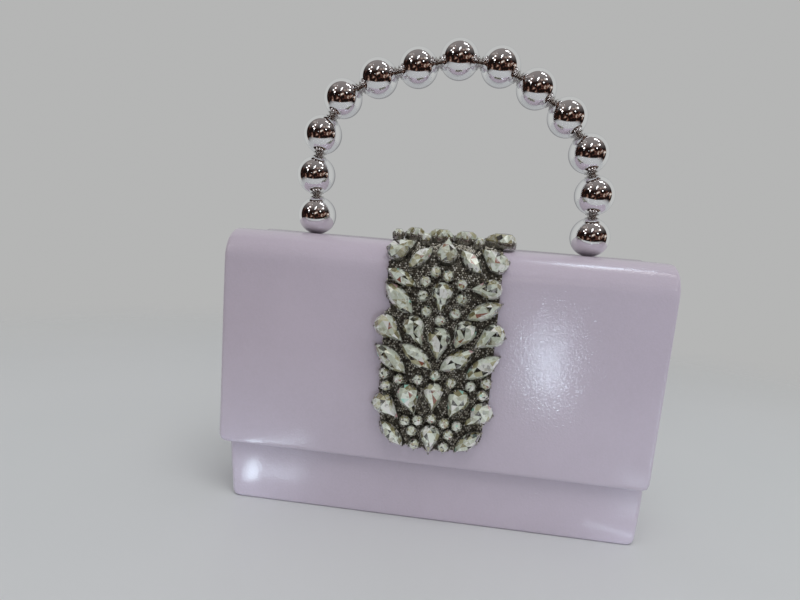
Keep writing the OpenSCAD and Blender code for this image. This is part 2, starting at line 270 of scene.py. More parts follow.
dim = g.ramp(clutter, [
    (0.0, (0.004, 0.003, 0.003)), (0.5, (0.012, 0.007, 0.006)), (0.58, (0.08, 0.03, 0.022)),
    (0.66, (0.3, 0.2, 0.15)), (0.72, (0.8, 0.76, 0.7)), (1.0, (0.9, 0.9, 0.9))])
high = g.grey(xyz[2], [(0.0, 0), (0.35, 0), (0.8, 0.8), (1.0, 0.95)])
ceiling = g.mix(1.0, g.mix(high, dim, CEILING), lamps, "ADD")
backward = g.math("ADD", g.math("MULTIPLY", xyz[1], 0.5), 0.5)
behind = g.grey(backward, [(0.0, 0), (0.55, 0), (0.57, 1), (1.0, 1)])
wall = g.ramp(xyz[1], [
    (0.0, (0.6, 0.61, 0.6)), (0.6, (0.58, 0.59, 0.58)), (0.88, (0.46, 0.47, 0.47)), (0.97, (0.27, 0.27, 0.28))])
room = g.mix(behind, ceiling, wall)
path = g.node("ShaderNodeLightPath").outputs
mirrored = g.math("MAXIMUM", path["Is Glossy Ray"], path["Is Transmission Ray"])
pale = g.mix(path["Is Camera Ray"], PALE_LIGHT, SEEN_BACKDROP)
seen = g.mix(mirrored, pale, room)
light = g.node("ShaderNodeBackground", {"Color": seen, "Strength": 1.0})
out = g.node("ShaderNodeOutputWorld")
g.tree.links.new(light.outputs[0], out.inputs[0])


def material(name):
    m = bpy.data.materials.new(name)
    m.use_nodes = True
    graph = Graph(m.node_tree)
    shader = graph.node("ShaderNodeBsdfPrincipled")
    output = graph.node("ShaderNodeOutputMaterial")
    graph.tree.links.new(shader.outputs[0], output.inputs[0])
    return m, graph, shader


def wire_in(graph, shader, **values):
    """Sets or links the shader's inputs, named with _ for each space."""
    for key, value in values.items():
        socket = shader.inputs[key.replace("_", " ")]
        if isinstance(value, bpy.types.NodeSocket):
            graph.tree.links.new(value, socket)
        else:
            socket.default_value = value


def floor_material():
    m, g, s = material("floor")
    at = g.node("ShaderNodeSeparateXYZ", {0: g.coords()}).outputs
    far = g.math("SQRT", g.math("ADD", g.math("POWER", at[0], 2), g.math("POWER", at[1], 2)))
    fade = g.grey(far, [(0.0, 1), (0.28, 1), (0.8, 0), (1.0, 0)], "EASE")
    table_edge = g.grey(g.math("ADD", at[1], 1.0), [(0.0, 0), (0.67, 0), (0.71, 1), (1.0, 1)])
    base = g.ramp(g.noise(3.0), [(0.3, (0.74, 0.76, 0.77)), (0.7, (0.78, 0.79, 0.8))])
    wire_in(g, s, Base_Color=base, Roughness=0.32, Alpha=g.math("MULTIPLY", fade, table_edge), Specular_IOR_Level=0.25)
    return m


def plain_mesh(name, verts, faces):
    data = bpy.data.meshes.new(name)
    data.from_pydata([tuple(v) for v in verts], [], [tuple(f) for f in faces])
    data.update()
    made = bpy.data.objects.new(name, data)
    scene.collection.objects.link(made)
    return made


FLOOR_R, FLOOR_SIDES = 1.05, 96
floor_edge = [(FLOOR_R * math.cos(a), FLOOR_R * math.sin(a), 0) for a in circle(FLOOR_SIDES)]
floor = plain_mesh("floor", floor_edge, [range(FLOOR_SIDES)])
floor.data.materials.append(floor_material())
floor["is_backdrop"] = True


# ---- materials
def leather_material(name, tint):
    """Patent leather: a fine orange-peel grain under a clear coat, with painted sheen flecks in its colour."""
    m, g, s = material(name)
    cloudy = g.noise(14.0, 4.0, 0.6)
    painted_sheen_flecks = g.noise(900.0, 2.0, 0.6)
    base = g.ramp(cloudy, [(0.3, tuple(c * 0.95 for c in tint)), (0.7, tuple(min(1, c * 1.05) for c in tint))])
    # Painted sheen: small lighter, bluer flecks mixed into the leather's base colour
    base = g.mix(g.grey(painted_sheen_flecks, [(0.35, 0), (0.75, 0.3)]), base,
                 (tint[0] * 1.12, tint[1] * 1.1, min(1, tint[2] * 1.15), 1))
    grain = g.math("ADD", g.math("MULTIPLY", g.noise(1900.0, 2.0, 0.6), 0.3), g.noise(1000.0, 2.0, 0.5))
    normal = g.bump(grain, 0.7, 0.00012)
    rough = g.grey(g.noise(60.0, 3.0, 0.6), [(0.3, 0.36), (0.7, 0.44)])
    wire_in(g, s, Base_Color=base, Roughness=rough, Normal=normal, Specular_IOR_Level=0.12,
            Coat_Weight=1.0, Coat_Roughness=0.055, Coat_IOR=1.5, Coat_Normal=normal)
    return m


def cloth_material(name, tint, light_tint):
    """Satin weave, seen as fine crossed threads."""
    m, g, s = material(name)
    thread = {"Scale": 620.0, "Distortion": 0.6, "Detail": 1.0, "Vector": g.coords()}
    warp, weft = (g.node("ShaderNodeTexWave", thread, bands_direction=way).outputs["Fac"] for way in ("X", "Z"))
    weave = g.math("MULTIPLY", g.math("ADD", warp, weft), 0.5)
    shade = g.ramp(g.noise(35.0, 4.0, 0.6), [(0.3, tint), (0.7, light_tint)])
    base = g.mix(g.math("MULTIPLY", weave, 0.35), shade, tuple(c * 1.5 for c in light_tint))
    wire_in(g, s, Base_Color=base, Roughness=g.grey(weave, [(0, 0.45), (1, 0.62)]),
            Normal=g.bump(weave, 0.5, 0.0002), Sheen_Weight=0.35, Sheen_Roughness=0.4)
    return m


def chrome_material(name, tint, rough_low, rough_high, scale=260.0, bump=0.0):
    m, g, s = material(name)
    wear = g.noise(scale, 5.0, 0.65)
    rough = g.grey(wear, [(0.35, rough_low), (0.75, rough_high)])
    base = g.ramp(g.noise(40.0, 3.0, 0.6), [(0.3, tuple(c * 0.97 for c in tint)), (0.7, tint)])
    wire_in(g, s, Base_Color=base, Metallic=1.0, Roughness=rough)
    if bump:
        wire_in(g, s, Normal=g.bump(wear, bump, 0.0002))
    return m


def claw_material():
    m, g, s = material("claw_silver")
    wear = g.noise(700.0, 4.0, 0.7)
    base = g.ramp(wear, [(0.3, (0.22, 0.21, 0.19)), (0.5, (0.5, 0.49, 0.46)), (0.7, (0.8, 0.8, 0.78))])
    wire_in(g, s, Base_Color=base, Metallic=1.0, Roughness=g.grey(wear, [(0.3, 0.4), (0.7, 0.18)]),
            Normal=g.bump(wear, 0.3, 0.0002))
    return m


def seed_material():
    """Dark mesh set with seed stones: each seed has its own brightness, picked at random; the palest seeds are painted
    glints.
    """
    m, g, s = material("seed_mesh")
    level = g.node("ShaderNodeAttribute", attribute_name="tone").outputs["Fac"]
    # Dark to near white: the seeds' random tone, with painted glints at the pale end
    base = g.ramp(level, [(0.0, (0.04, 0.036, 0.028)), (0.4, (0.2, 0.18, 0.14)), (0.65, (0.8, 0.76, 0.64)),
                          (1.0, (1.0, 0.98, 0.92))])
    grit = g.noise(2500.0, 2.0, 0.6)
    wire_in(g, s, Base_Color=base, Metallic=0.3, Roughness=g.grey(grit, [(0.3, 0.18), (0.7, 0.4)]))
    return m


def stone_material():
    """Foil-backed glass drawn with painted reflections: each facet shows its own patch of painted reflection under a
    clear polished face.
    """
    m, g, s = material("cut_glass")
    level = g.node("ShaderNodeAttribute", attribute_name="tone").outputs["Fac"]
    # Painted reflection: each facet's tone picks a colour standing in for what the foil and the room reflect
    painted_facet_reflection = g.ramp(level, [
        (0.0, (0.93, 1.0, 0.88)), (0.2, (0.72, 0.78, 0.65)), (0.36, (0.28, 0.25, 0.12)),
        (0.5, (0.58, 0.56, 0.36)), (0.6, (0.02, 0.017, 0.013)), (0.7, (0.32, 0.11, 0.07)),
        (0.78, (1.0, 1.0, 0.96)), (0.91, (0.42, 0.85, 0.72)), (0.955, (0.95, 0.6, 0.64))], "CONSTANT")
    streak = g.noise(420.0, 2.0, 0.5)
    cell = g.node("ShaderNodeTexVoronoi", {"Scale": 620.0, "Vector": g.coords()})
    # Painted reflection: small cells of dark, pale and white sparkle inside the stones, mixed in along the streaks
    inner = g.ramp(cell.outputs["Color"], [
        (0.0, (0.03, 0.026, 0.022)), (0.22, (0.30, 0.27, 0.16)), (0.38, (0.88, 0.93, 0.86)),
        (0.62, (0.55, 0.53, 0.38)), (0.74, (1, 1, 1))], "CONSTANT")
    base = g.mix(g.grey(streak, [(0.45, 0.05), (0.6, 0.5)]), painted_facet_reflection, inner)
    wire_in(g, s, Base_Color=base, Metallic=0.12, Roughness=g.grey(streak, [(0.3, 0.1), (0.7, 0.2)]),
            Coat_Weight=1.0, Coat_Roughness=0.02, Coat_IOR=2.0)
    return m


def thread_material():
    m, g, s = material("thread")
    inputs = {"Scale": 900.0, "Distortion": 1.0, "Vector": g.coords()}
    twist = g.node("ShaderNodeTexWave", inputs, bands_direction="DIAGONAL").outputs["Fac"]
    wire_in(g, s, Base_Color=g.ramp(twist, [(0, (0.36, 0.30, 0.40)), (1, (0.56, 0.50, 0.60))]),
            Roughness=0.6, Normal=g.bump(twist, 0.4, 0.0002))
    return m


LILAC = (0.565, 0.49, 0.565)
LEATHER = leather_material("patent_lilac", LILAC)
HEM = leather_material("patent_lilac_hem", tuple(c * 0.92 for c in LILAC))
SATIN = cloth_material("satin_lining", (0.11, 0.085, 0.125), (0.17, 0.14, 0.19))
CHROME = chrome_material("bead_chrome", (0.86, 0.86, 0.87), 0.004, 0.02)
# Painted shade: the spacers' metal is a darker, rougher copy of the beads' chrome, its darker tint standing in for the
# shade between the beads
SPACER_PAINTED_SHADE = chrome_material("spacer_chrome", (0.62, 0.61, 0.6), 0.04, 0.14)
NICKEL = chrome_material("snap_nickel", (0.66, 0.66, 0.67), 0.18, 0.34, 500.0, 0.2)
STEEL = chrome_material("wire_steel", (0.5, 0.5, 0.51), 0.25, 0.45, 400.0, 0.2)
CLAW = claw_material()
SEEDS = seed_material()
CUT_GLASS = stone_material()
THREAD = thread_material()


# ---- mesh helpers
class Build:
    """Collects vertices and faces of one piece, in mm."""

    def __init__(self):
        self.verts, self.faces, self.tones = [], [], []

    def add(self, verts, faces, tones=None):
        base = len(self.verts)
        self.verts.extend(tuple(v) for v in verts)
        self.faces.extend([base + i for i in f] for f in faces)
        self.tones.extend([0.0] * len(faces) if tones is None else tones)

    def piece(self, name, surface, slot, body=None, stands_for=(), smooth=True, subdivide=0):
        made = plain_mesh(name, np.array(self.verts) * MM, self.faces)
        mesh = made.data
        mesh.materials.append(surface)
        mesh.polygons.foreach_set("use_smooth", [smooth] * len(mesh.polygons))
        if any(self.tones):
            tone = mesh.attributes.new("tone", "FLOAT", "FACE")
            tone.data.foreach_set("value", np.array(self.tones, np.float32))
        if subdivide:
            sub = made.modifiers.new("smooth", "SUBSURF")
            sub.levels = sub.render_levels = subdivide
        if body:
            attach(made, body)
        if stands_for:
            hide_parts(*stands_for)
        return made


def loft(rings, close_ends=True):
    """Closed rings of equal length joined in order, with flat caps."""
    n = len(rings[0])
    verts = [p for r in rings for p in r]
    faces = [(k * n + i, k * n + (i + 1) % n, (k + 1) * n + (i + 1) % n, (k + 1) * n + i)
             for k in range(len(rings) - 1) for i in range(n)]
    if close_ends:
        faces.append(tuple(range(n))[::-1])
        faces.append(tuple(range((len(rings) - 1) * n, len(rings) * n)))
    return verts, faces


def lathe(profile, place, axis, segments):
    """Closed [r, z] profile turned round an axis through place."""
    z = np.array(axis) / np.linalg.norm(axis)
    x = np.cross(z, (0, 1, 0.01))
    x /= np.linalg.norm(x)
    y = np.cross(z, x)
    return [[np.array(place) + z * h + r * (math.cos(a) * x + math.sin(a) * y) for a in circle(segments)]
            for r, h in profile]


def plate(us, vs, thick, edge, shape, inner_edge=0.8, steps=6, corner=0.78):
    """Sheet with rounded edges. us and vs are its outer face's grid lines, edge and inner_edge the radii
    of its rims, and shape(u, v, depth) places a point."""
    us, vs = np.array(us, float), np.array(vs, float)
    nu, nv = len(us), len(vs)
    verts = [shape(u, v, 0.0) for v in vs for u in us]
    faces = [(j * nu + i, j * nu + i + 1, (j + 1) * nu + i + 1, (j + 1) * nu + i)
             for j in range(nv - 1) for i in range(nu - 1)]
    border = ([(i, 0) for i in range(nu)] + [(nu - 1, j) for j in range(1, nv)]
              + [(i, nv - 1) for i in range(nu - 2, -1, -1)] + [(0, j) for j in range(nv - 2, 0, -1)])
    outer = [j * nu + i for i, j in border]
    profile = [(edge * math.sin(a), edge * (1 - math.cos(a))) for a in quarter(steps)[1:]]
    profile += [(edge - inner_edge * (1 - math.cos(a)), thick - inner_edge * (1 - math.sin(a))) for a in quarter(4)]
    previous = outer
    for reach, depth in profile:
        row = []
        for i, j in border:
            du, dv = (i == nu - 1) - (i == 0), (j == nv - 1) - (j == 0)
            k = corner if du and dv else 1.0
            row.append(len(verts))
            verts.append(shape(us[i] + du * reach * k, vs[j] + dv * reach * k, depth))
        faces += [(previous[a - 1], row[a - 1], row[a], previous[a]) for a in range(len(border))]
        previous = row
    base = len(verts)
    verts += [shape(u, v, thick) for v in vs for u in us]
    inner = [base + j * nu + i for i, j in border]
    faces += [(previous[a - 1], inner[a - 1], inner[a], previous[a]) for a in range(len(border))]
    faces += [(base + j * nu + i, base + (j + 1) * nu + i, base + (j + 1) * nu + i + 1, base + j * nu + i + 1)
              for j in range(nv - 1) for i in range(nu - 1)]
    return verts, faces


def capsule(a, b, r, out, sides=6):
    """Short thread from a to b that bows outward along out."""
    along = (b - a) / np.linalg.norm(b - a)
    side = np.cross(along, out)
    rings = []
    for t, k, lift in ((0.0, 0.35, -0.5), (0.12, 0.9, 0.2), (0.5, 1.0, 0.55), (0.88, 0.9, 0.2), (1.0, 0.35, -0.5)):
        c = a + (b - a) * t + out * r * lift
        rings.append([c + r * k * (math.cos(q) * side + math.sin(q) * out) for q in circle(sides)])
    return loft(rings)


def stitches(build, points, outs, pitch=3.4, length=2.3, r=0.28):
    """Stitches along a line of points, whose outward directions are outs."""
    points, outs = np.array(points, float), np.array(outs, float)
    run = np.concatenate([[0], np.cumsum(np.linalg.norm(np.diff(points, axis=0), axis=1))])
    for start in np.arange(pitch / 2, run[-1] - pitch, pitch):
        a, b, out = (np.array([np.interp(s, run, table[:, k]) for k in range(3)]) for s, table in (
            (start, points), (start + length, points), (start + length / 2, outs)))
        build.add(*capsule(a, b, r, out / np.linalg.norm(out)))


def ease(t):
    t = np.clip(t, 0, 1)
    return t * t * (3 - 2 * t)


def wave(x, z, seed):
    """Slow, small unevenness in mm, the same at every run."""
    local = np.random.default_rng(seed)
    total = 0.0
    for _ in range(5):
        fx, fz = local.uniform(0.008, 0.045), local.uniform(0.01, 0.06)
        phase, size = local.uniform(0, 6.28), local.uniform(0.5, 1)
        total += size * math.sin(fx * x * 2 + fz * z * 2 + phase)
    return total / 5


# ---- flap
def flap_point(x, s, height):
    """Point on the flap: s runs up its front and on round the roll to the top, height is outward."""
    if s <= ROLL_Z:
        return np.array([x, FLAP_FRONT - height, s])
    if s <= ROLL_END:
        a = (s - ROLL_Z) / ROLL_R
        r = ROLL_R + height
        return np.array([x, ROLL_Y - r * math.cos(a), ROLL_Z + r * math.sin(a)])
    return np.array([x, ROLL_Y + s - ROLL_END, TOP_Z + height])


def flap_out(s):
    a = min(max((s - ROLL_Z) / ROLL_R, 0), math.pi / 2)
    return np.array([0, -math.cos(a), math.sin(a)])


HINGE_S = ROLL_END + HINGE[0] - ROLL_Y
BEAD_S = ROLL_END - ROLL_Y
FLAP_EDGE = 2.3
FLAP_THICK = 3.3
bead_x = (bead_at[0][0], bead_at[-1][0])


def flap_skin(u, v, depth):
    outer = max(0.0, 1 - depth / 2.0)
    across = min(1.0, abs(u) / FLAP_HALF)
    height = 0.35 * (1 - across ** 6) * (1 - ease((v - ROLL_END) / 12)) * ease((v - FLAP_BOTTOM) / 14)
    height += 0.22 * wave(u, v, 3) * ease((v - FLAP_BOTTOM) / 10) * (1 - 0.7 * ease((v - ROLL_END) / 10))
    for bx in bead_x:
        d = math.hypot(u - bx, v - BEAD_S)
        height += 0.42 * math.exp(-((d - 6.0) / 2.6) ** 2) - 0.15 * math.exp(-((d / 3.5) ** 2))
    flare = 1.005 + 0.006 * ease((v - FLAP_BOTTOM) / 90) * (1 - ease((v - ROLL_END) / 14))
    drop = 1.3 * (1 - ease((v - FLAP_BOTTOM) / 14))
    return flap_point(u * flare - 0.5 * ease((60 - u) / 120), v - drop, height * outer - depth)


def spread(low, high, step, extra=()):
    """Grid lines from low to high about step apart, with some extra ones close to given places."""
    lines = set(np.round(np.linspace(low, high, int(round((high - low) / step)) + 1), 3))
    for centre, reach, fine in extra:
        lines |= {round(v, 3) for v in np.arange(centre - reach, centre + reach + 0.01, fine) if low < v < high}
    lines = sorted(lines)
    kept = [lines[0]]
    for v in lines[1:]:
        if v - kept[-1] > 0.45:
            kept.append(v)
    kept[-1] = lines[-1]
    return kept


us = spread(-FLAP_HALF + FLAP_EDGE, FLAP_HALF - FLAP_EDGE, 4.0, [(x, 11, 1.4) for x in bead_x])
vs = spread(FLAP_BOTTOM + FLAP_EDGE, HINGE_S - 1.2, 4.0, [(ROLL_Z + 12, 14, 1.6), (BEAD_S, 11, 1.4)])
b = Build()
b.add(*plate(us, vs, FLAP_THICK, FLAP_EDGE, flap_skin, corner=1.0))
flap = b.piece("flap_skin", LEATHER, "patent_leather", "flap", ("flap_leather", "flap_board"), subdivide=1)

HEM_W = 7.0  # width of the turned-in leather round the flap's lining
CLOTH_T = 0.5
SEAM_IN = 1.6  # from a cloth's edge to its stitches
us = spread(-FLAP_HALF + HEM_W, FLAP_HALF - HEM_W, 6.0)
vs = spread(FLAP_BOTTOM + HEM_W, HINGE_S - 4.5, 3.0)
b = Build()
b.add(*plate(us, vs, CLOTH_T, 0.25, lambda u, v, d: flap_point(u, v, -FLAP_THICK - CLOTH_T + d - 0.05), 0.2, 3))
flap_cloth = b.piece("flap_lining_cloth", SATIN, "lining_fabric", "flap", ("flap_lining",))

b = Build()
low_s, high_s, side_x = FLAP_BOTTOM + HEM_W + SEAM_IN, HINGE_S - 6, FLAP_HALF - HEM_W - SEAM_IN
for seam in (line((-side_x, high_s), (-side_x, low_s), 90), line((-side_x, low_s), (side_x, low_s), 60),
             line((side_x, low_s), (side_x, high_s), 90)):
    stitches(b, [flap_point(x, s, -FLAP_THICK - CLOTH_T) for x, s in seam], [-flap_out(s) for _, s in seam])
b.piece("flap_lining_stitches", THREAD, "lining_fabric", "flap")


# ---- body
def body_shift(p):
    """Soft body: its sides bulge a little above the base, and its lower front stands forward at the right."""
    x, y, z = p
    side = x / BODY_HALF
    low = 1 - ease(z / 34)
    bulge = ease(z / 30) * (1 - ease((z - 38) / 60))
    x += 1.2 * bulge + 2.4 * low + side * (2.7 * bulge + 0.2 * low)
    front = ease((12 - y) / 20)
    y -= front * (1 - ease(z / 36)) * (3.4 - 0.6 * ease((side + 1) / 2))
    y -= front * 0.25 * wave(x, z, 8) * (1 - ease((z - 24) / 14))
    y += ease((y - 12) / 12) * 0.3 * wave(x, z, 5)
    return np.array([x, y, z])


def round_rectangle(half, y0, y1, r, z, corner_points, long_points, side_y, dips):
    """Rounded rectangle at height z, with the points at side_y on its two sides set in by dips."""
    corners = ((-half + r, y0 + r, math.pi), (half - r, y0 + r, 1.5 * math.pi),
               (half - r, y1 - r, 0), (-half + r, y1 - r, 0.5 * math.pi))
    runs = ([(x, y0, z) for x in np.linspace(-half + r, half - r, long_points)[1:-1]],
            [(half - d, y, z) for y, d in zip(side_y, dips)],
            [(x, y1, z) for x in np.linspace(half - r, -half + r, long_points)[1:-1]],
            [(-half + d, y, z) for y, d in zip(side_y[::-1], dips)])
    points = []
    for (cx, cy, start), run in zip(corners, runs):
        angles = np.linspace(start, start + math.pi / 2, corner_points)
        points += [(cx + r * math.cos(a), cy + r * math.sin(a), z) for a in angles]
        points += run
    return points


def body_ring(half, y0, y1, radius, z, groove=0.0):
    """Section of the body, with grooves on its sides near the front and back."""
    side_y = [y0 + 3.6, y0 + 4.2, y0 + 4.8] + list(np.linspace(y0 + 9, y1 - 9, 5)) + [y1 - 4.8, y1 - 4.2, y1 - 3.6]
    dips = [0, groove, 0] + [0] * 5 + [0, groove, 0]
    return [body_shift(p) for p in round_rectangle(half, y0, y1, radius, z, 6, 42, side_y, dips)]


CORNER_R, FOOT_R, SHELL_T = 3.4, 1.3, 2.6  # upright corners, foot edge, wall thickness
GROOVE = 0.4
INNER_CORNER_R = 1.6


def rounding(r, z):
    """How far an edge of radius r is set in at height z."""
    return r - math.sqrt(max(0, r ** 2 - max(0, r - z) ** 2))


def shell_ring(z):
    half, inset = BODY_HALF - rounding(CORNER_R, z), rounding(FOOT_R, z)
    return body_ring(half, BODY_FRONT + inset, BODY_BACK - inset, CORNER_R, z, GROOVE if z > 1 else 0.0)


heights = [0.0, 0.12, 0.45, 1.0, 1.8, 2.8, 4.2, 6.0, 9.0]
heights += list(np.arange(13, WALL_H - 2, 6.0)) + [WALL_H - 1.2, WALL_H]
flat = np.array(shell_ring(0.0))
middle = np.array([0, (BODY_FRONT + BODY_BACK) / 2, 0.0])
rings = [middle + (flat - middle) * k + (0, 0, lift) for k, lift in ((0.05, 0.5), (0.6, 0.4), (0.93, 0.12))]
rings += [shell_ring(z) for z in heights]
inside = [body_ring(BODY_HALF - SHELL_T, BODY_FRONT + SHELL_T, BODY_BACK - SHELL_T, INNER_CORNER_R, z)
          for z in (WALL_H, WALL_H - 1, 60, 12, 2.9)]
floor_ring = np.array(inside[-1])
rings += inside + [floor_ring * (0.6, 1, 1), floor_ring * (0.05, 0.3, 1)]
b = Build()
b.add(*loft(rings))
shell = b.piece("body_shell", LEATHER, "patent_leather", "body",
                ("front_leather", "back_leather", "base_leather", "gusset_left", "gusset_right",
                 "front_board", "back_board", "base_board"), subdivide=1)

b = Build()
for side in (-1, 1):
    for y in (BODY_FRONT + 6.4, BODY_BACK - 6.4):
        seam = [body_shift((side * (BODY_HALF + 0.05), y, z)) for z in np.linspace(8, WALL_H - 2, 60)]
        stitches(b, seam, [(side, 0, 0)] * len(seam))
b.piece("gusset_stitches", THREAD, "patent_leather", "body")

# Lining: a fabric tray with soft corners, 0.1 mm clear of the walls
LINING_T, LINING_R, LINING_GAP = 0.6, 2.2, 0.1
LINING_HALF = BODY_HALF - SHELL_T - LINING_GAP
ly0, ly1 = BODY_FRONT + SHELL_T + LINING_GAP, BODY_BACK - SHELL_T - LINING_GAP


def sag(p):
    """Lining point, moved with the body and a little inward where the cloth hangs free."""
    x, y, z = body_shift(p)
    inward = 0.5 * math.sin(math.pi * min(1, max(0, z / WALL_H))) * (1 + 0.6 * wave(x * 2.2, z * 1.6, 21))
    mid = (ly0 + ly1) / 2
    return np.array([x, y + (inward if y < mid else -inward), z])


def tray_ring(grow, z):
    """Section of the tray, grow mm inside its outer face."""
    half, y0, y1 = LINING_HALF - grow, ly0 + grow, ly1 - grow
    side_y = np.linspace(y0 + LINING_R, y1 - LINING_R, 8)[1:-1]
    return [sag(p) for p in round_rectangle(half, y0, y1, LINING_R, z, 5, 34, side_y, [0] * len(side_y))]


levels = list(np.linspace(8, WALL_H - 0.5, 18))
outer_rings = [tray_ring(1.4, 3.0), tray_ring(0.4, 3.6), tray_ring(0, 5.0)] + [tray_ring(0, z) for z in levels]
inner_rings = [tray_ring(LINING_T, z) for z in levels[::-1]]
inner_rings += [tray_ring(LINING_T + inset, z) for inset, z in ((0, 5.4), (0.5, 4.1), (1.4, 3.7))]


def shrunk(ring, k, lift=0.0):
    ring = np.array(ring)
    c = ring.mean(axis=0)
    return (ring - c) * (k, k, 1) + c + (0, 0, lift)


rings = [shrunk(outer_rings[0], 0.05), shrunk(outer_rings[0], 0.6)] + outer_rings + inner_rings
rings += [shrunk(inner_rings[-1], 0.6, 0.15), shrunk(inner_rings[-1], 0.05, 0.2)]
b = Build()
b.add(*loft(rings))
b.piece("body_lining_cloth", SATIN, "lining_fabric", "body", ("lining",))

# Slip pocket: a panel of lining cloth with a hemmed, slightly slack top edge
pocket_low, pocket_high = box_mm("slip_pocket")
px, pz0, pz1 = pocket_high[0], pocket_low[2], pocket_high[2]
pocket_gap = pocket_high[1] - pocket_low[1]


def pocket_skin(u, v, depth):
    up = (v - pz0) / (pz1 - pz0)
    across = 1 - (u / px) ** 2
    out = pocket_gap * (0.12 + 0.8 * ease(up * 1.2) * max(0, across) ** 0.5) + 0.3 * wave(u * 3, v * 2, 31)
    back = sag((u, ly1 - LINING_T, v))
    return back + np.array([0, -out - 0.5 + depth, -0.8 * max(0, across) * ease((up - 0.7) / 0.3)])


b = Build()
b.add(*plate(spread(-px + 0.3, px - 0.3, 4.0), spread(pz0 + 0.3, pz1 - 0.3, 4.0), 0.6, 0.3, pocket_skin, 0.25, 3))
pocket = b.piece("slip_pocket_cloth", SATIN, "lining_fabric", "body", ("slip_pocket",))
b = Build()
top, foot = (line((-px + 2, z), (px - 2, z), 60) for z in (pz1 - 4.5, pz0 + SEAM_IN))
left, right = (line((x, pz0 + 2), (x, pz1 - 5), 40) for x in (-px + SEAM_IN, px - SEAM_IN))
for seam in (top, left, right, foot):
    stitches(b, [pocket_skin(u, v, 0) for u, v in seam], [(0, -1, 0)] * len(seam))
b.piece("slip_pocket_stitches", THREAD, "lining_fabric", "body")

# Binding: a rolled leather edge along the mouth's front and sides
binding_back = box_mm("mouth_binding")[1][1]


def binding_ring(p, inward):
    """Section of the binding at p: from outside the wall, over its edge, to the inside."""
    width = SHELL_T + LINING_T + 0.5
    out = []
    for a in np.linspace(-0.2 * math.pi, 1.2 * math.pi, 13):
        reach = width / 2 * (1 - math.cos(a) / math.cos(0.2 * math.pi) * 0.98)
        lift = 1.15 * math.sin(a)
        out.append(np.array(p) + np.array(inward) * (reach - 0.15) + np.array((0, 0, lift)))
    return out


centre_x, centre_y = BODY_HALF - CORNER_R, BODY_FRONT + CORNER_R
turns = quarter(6)[1:-1]
left = [((-BODY_HALF, y, WALL_H), (1, 0, 0)) for y in np.linspace(binding_back, centre_y, 8)]
left += [((-centre_x - CORNER_R * math.cos(a), centre_y - CORNER_R * math.sin(a), WALL_H),
          (math.cos(a), math.sin(a), 0)) for a in turns]
front = [((x, BODY_FRONT, WALL_H), (0, 1, 0)) for x in np.linspace(-centre_x, centre_x, 30)]
right = [((-p[0], p[1], p[2]), (-w[0], w[1], 0)) for p, w in left[::-1]]
b = Build()
b.add(*loft([[body_shift(q) for q in binding_ring(p, w)] for p, w in left + front + right]))
b.piece("mouth_binding_leather", HEM, "patent_leather", "body", ("mouth_binding",), subdivide=1)

# Fold: the leather that goes from the back over the hinge to the flap's top
FOLD_T, FOLD_R = 0.9, 4.3
fold_line = [(BODY_BACK + 0.85, z, 0.0) for z in np.linspace(119, HINGE[1], 9)[:-1]]
fold_line += [(HINGE[0] + FOLD_R * math.cos(a), HINGE[1] + FOLD_R * math.sin(a), a)
              for a in quarter(15)]
fold_line += [(y, TOP_Z + 0.8, math.pi / 2) for y in np.linspace(HINGE[0], 11.5, 6)[1:]]
fold_steps = [math.hypot(q[0] - p[0], q[1] - p[1]) for p, q in zip(fold_line, fold_line[1:])]
fold_run = np.concatenate([[0], np.cumsum(fold_steps)])


def fold_skin(u, v, depth):
    y, z, a = (np.interp(v, fold_run, [p[k] for p in fold_line]) for k in range(3))
    thin = 0.5 * (1 - ease(v / 3)) + 0.65 * (1 - ease((fold_run[-1] - v) / 6))
    out = 0.12 * wave(u * 1.5, v * 3, 41) - thin - depth
    return np.array([u, y + out * math.cos(a), z + out * math.sin(a)])


fold_half = BODY_HALF - 1.5
b = Build()
us, vs = spread(-fold_half, fold_half, 4.0), spread(0.5, fold_run[-1] - 0.5, 0.75)
b.add(*plate(us, vs, FOLD_T, 0.45, fold_skin, 0.35, 4))
fold = b.piece("hinge_fold_leather", LEATHER, "patent_leather")
b = Build()
for v in (2.2, 4.6):
    stitches(b, [fold_skin(u, v, 0) for u in np.linspace(-fold_half + 2, fold_half - 2, 90)], [(0, 1, 0)] * 90)
b.piece("fold_back_stitches", THREAD, "patent_leather", "body")


# ---- handle
SPHERE_SEGMENTS, SPHERE_RINGS, SPACER_SEGMENTS = 96, 48, 40
for i, centre in enumerate(bead_at):
    before, after = bead_at[max(0, i - 1)], bead_at[min(BEAD_COUNT - 1, i + 1)]
    profile = [(BEAD_R * math.sin(a), -BEAD_R * math.cos(a)) for a in np.linspace(0.03, math.pi - 0.03, SPHERE_RINGS)]
    b = Build()
    b.add(*loft(lathe(profile, centre, after - before, SPHERE_SEGMENTS)))
    b.piece("handle_bead_%02d" % (i + 1), CHROME, "bead_chrome", "flap", ("bead_%02d" % (i + 1),))

for i in range(BEAD_COUNT - 1):
    a, c = bead_at[i], bead_at[i + 1]
    half_gap = np.linalg.norm(c - a) / 2
    bore_z, mid_z, rim_z = (half_gap - math.sqrt(BEAD_R ** 2 - r ** 2) for r in (1.7, 2.9, 3.4))
    half = [(1.7, -bore_z + 0.03), (2.9, -mid_z + 0.03), (3.3, -rim_z + 0.02), (3.52, -rim_z + 0.16),
            (3.45, -rim_z + 0.36), (3.0, -rim_z + 0.5), (2.45, -0.3), (2.25, 0.0)]
    profile = half + [(r, -z) for r, z in half[-2::-1]]
    rings = lathe(profile, (a + c) / 2, c - a, SPACER_SEGMENTS)
    b = Build()
    b.add(*loft(rings + [rings[0]], close_ends=False))
    b.piece("handle_spacer_%02d" % (i + 1), SPACER_PAINTED_SHADE, "bead_chrome", "flap", ("spacer_%02d" % (i + 1),))


